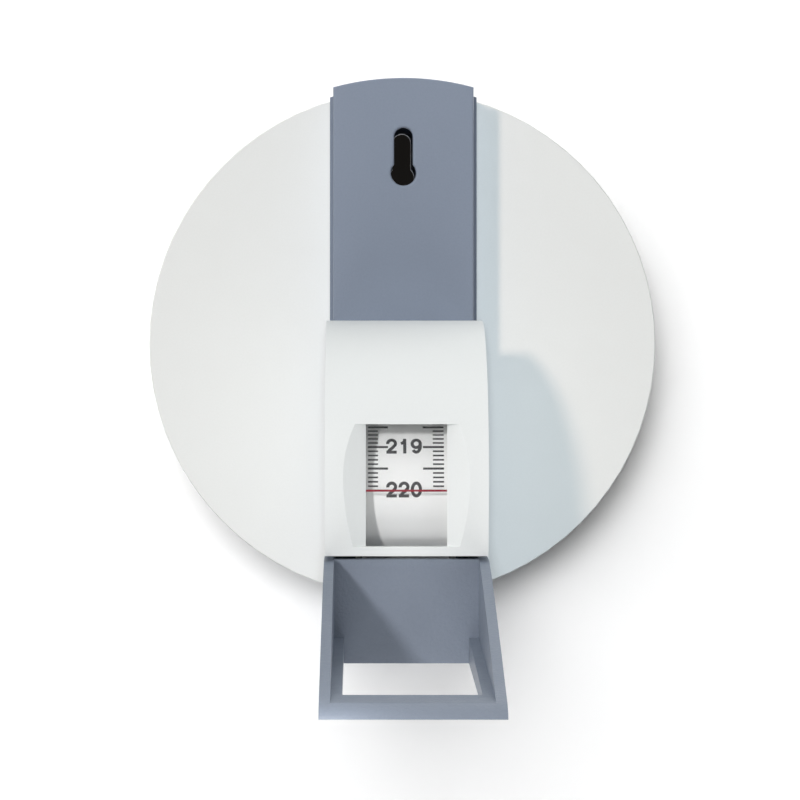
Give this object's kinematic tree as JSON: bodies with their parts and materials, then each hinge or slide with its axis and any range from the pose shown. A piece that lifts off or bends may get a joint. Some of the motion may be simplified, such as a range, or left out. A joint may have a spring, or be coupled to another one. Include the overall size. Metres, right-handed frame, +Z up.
{
  "type": "wall-hung measuring head with a spring-wound tape",
  "caption": "Wall stadiometer: a sliding head stop with a reading window pulls a spring-wound tape from its wall hanger.",
  "frame": {"origin": "axis of the wall screw, where its shank rests in the top of the keyhole's slot, on the wall's plane", "axes": "+Y into the wall, -Y out to the front, +Z up along the wall, +X to the right as seen from the front"},
  "size_m": [0.125, 0.1368, 0.1352],
  "materials": {
    "grey_shell": "satin moulded plastic",
    "grey_stop": "satin moulded plastic",
    "white_disc": "fine matt moulded plastic",
    "white_cover": "semi-gloss moulded plastic",
    "inner_plastic": "natural acetal plastic",
    "clear_pane": "clear polished plastic",
    "tape_film": "satin coated tape, printed",
    "red_ink": "printed line",
    "steel": "zinc plated steel",
    "spring_steel": "blued spring steel",
    "dark_rubber": "moulded rubber",
    "grey_felt": "pressed felt"
  },
  "bodies": {
    "hanger": {"hanger_shell": "grey_shell", "hanger_back_plate": "grey_shell", "tape_clamp_bar": "steel", "clamp_screw_left": "steel", "clamp_screw_right": "steel", "back_plate_screw_left": "steel", "back_plate_screw_right": "steel", "tape_run": "tape_film"},
    "carriage": {"wall_disc": "white_disc", "carriage_spine": "grey_shell", "stop_bumper": "dark_rubber", "window_cover": "white_cover", "window_pane": "clear_pane", "reading_line": "red_ink", "head_stop": "grey_stop", "tape_guide_pin": "steel", "drum_cheek_left": "inner_plastic", "drum_cheek_right": "inner_plastic", "drum_axle": "steel", "spring_arbor": "inner_plastic", "axle_clip_left": "spring_steel", "axle_clip_right": "spring_steel", "cheek_screw_left_upper": "steel", "cheek_screw_left_lower": "steel", "cheek_screw_right_upper": "steel", "cheek_screw_right_lower": "steel", "head_stop_screw_left": "steel", "head_stop_screw_right": "steel", "housing_screw_1": "steel", "housing_screw_2": "steel", "housing_screw_3": "steel", "housing_screw_4": "steel", "glide_pad_1": "grey_felt", "glide_pad_2": "grey_felt", "glide_pad_3": "grey_felt", "glide_pad_4": "grey_felt"},
    "drum": {"drum_hub": "inner_plastic", "drum_flange_left": "inner_plastic", "drum_flange_right": "inner_plastic", "axle_bush_left": "inner_plastic", "axle_bush_right": "inner_plastic", "wound_tape": "tape_film", "power_spring": "spring_steel"}
  },
  "joints": [
    {"name": "pull_down", "type": "slide", "parent": "hanger", "child": "carriage", "axis": [0, 0, -1], "range_m": [0, 2.2], "stiffness_N_per_m": 1, "springref_m": -4, "deforming": ["tape_run"]},
    {"name": "drum_spin", "type": "hinge", "parent": "carriage", "child": "drum", "pos_m": [0, -0.04, -0.081], "axis": [1, 0, 0], "range_deg": [0, 6480]}
  ],
  "couplings": [
    {"joint": "drum_spin", "follows": "pull_down", "rad_per_m": 50.865}
  ]
}
